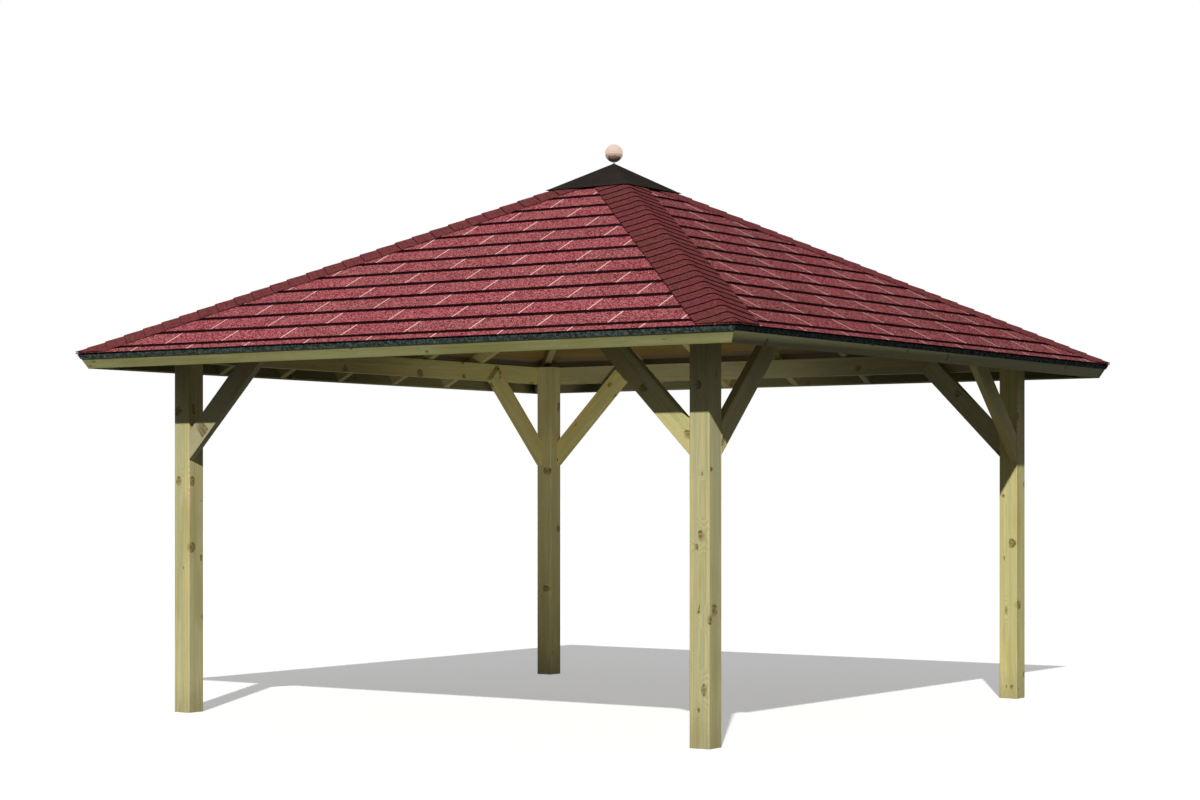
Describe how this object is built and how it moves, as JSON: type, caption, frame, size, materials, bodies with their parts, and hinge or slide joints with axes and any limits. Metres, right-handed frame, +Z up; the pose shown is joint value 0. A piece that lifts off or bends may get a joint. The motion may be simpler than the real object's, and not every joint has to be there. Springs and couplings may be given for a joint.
{
  "type": "garden gazebo",
  "caption": "Open square timber gazebo on corner posts with knee braces, a shingled pyramid roof, a sheet-metal apex cap and a ball finial.",
  "frame": {"origin": "on the ground at the centre of the square plan", "axes": "+Z up, the front faces -Y and the right-hand side faces +X"},
  "size_m": [4.5402, 4.5402, 3.4197],
  "materials": {
    "frame_timber": "planed, pressure-treated softwood with a green-yellow cast",
    "fascia_timber": "planed, pressure-treated softwood",
    "roof_boards": "planed boards, in shade",
    "felt": "mineral felt, dark grey-green grit",
    "shingles": "bitumen shingles with red mineral grit",
    "hip_capping": "bitumen shingles with dark red mineral grit",
    "cap_sheet": "satin dark brown coated steel sheet",
    "ball": "satin copper-coloured metal"
  },
  "bodies": {
    "root": {"post_back_right": "frame_timber", "post_back_left": "frame_timber", "post_front_left": "frame_timber", "post_front_right": "frame_timber", "brace_right_back": "frame_timber", "brace_right_front": "frame_timber", "brace_back_left": "frame_timber", "brace_back_right": "frame_timber", "brace_left_front": "frame_timber", "brace_left_back": "frame_timber", "brace_front_right": "frame_timber", "brace_front_left": "frame_timber", "beam_right": "frame_timber", "beam_back": "frame_timber", "beam_left": "frame_timber", "beam_front": "frame_timber", "hip_rafter_back_right": "frame_timber", "hip_rafter_back_left": "frame_timber", "hip_rafter_front_left": "frame_timber", "hip_rafter_front_right": "frame_timber", "rafters_right": "frame_timber", "rafters_back": "frame_timber", "rafters_left": "frame_timber", "rafters_front": "frame_timber", "roof_boards_right": "roof_boards", "roof_boards_back": "roof_boards", "roof_boards_left": "roof_boards", "roof_boards_front": "roof_boards", "fascia_right": "fascia_timber", "fascia_back": "fascia_timber", "fascia_left": "fascia_timber", "fascia_front": "fascia_timber", "felt_edging": "felt", "shingles_right": "shingles", "shingles_back": "shingles", "shingles_left": "shingles", "shingles_front": "shingles", "hip_cap_back_right": "hip_capping", "hip_cap_back_left": "hip_capping", "hip_cap_front_left": "hip_capping", "hip_cap_front_right": "hip_capping", "king_block": "frame_timber", "roof_cap": "cap_sheet", "finial_ball": "ball"}
  },
  "joints": []
}
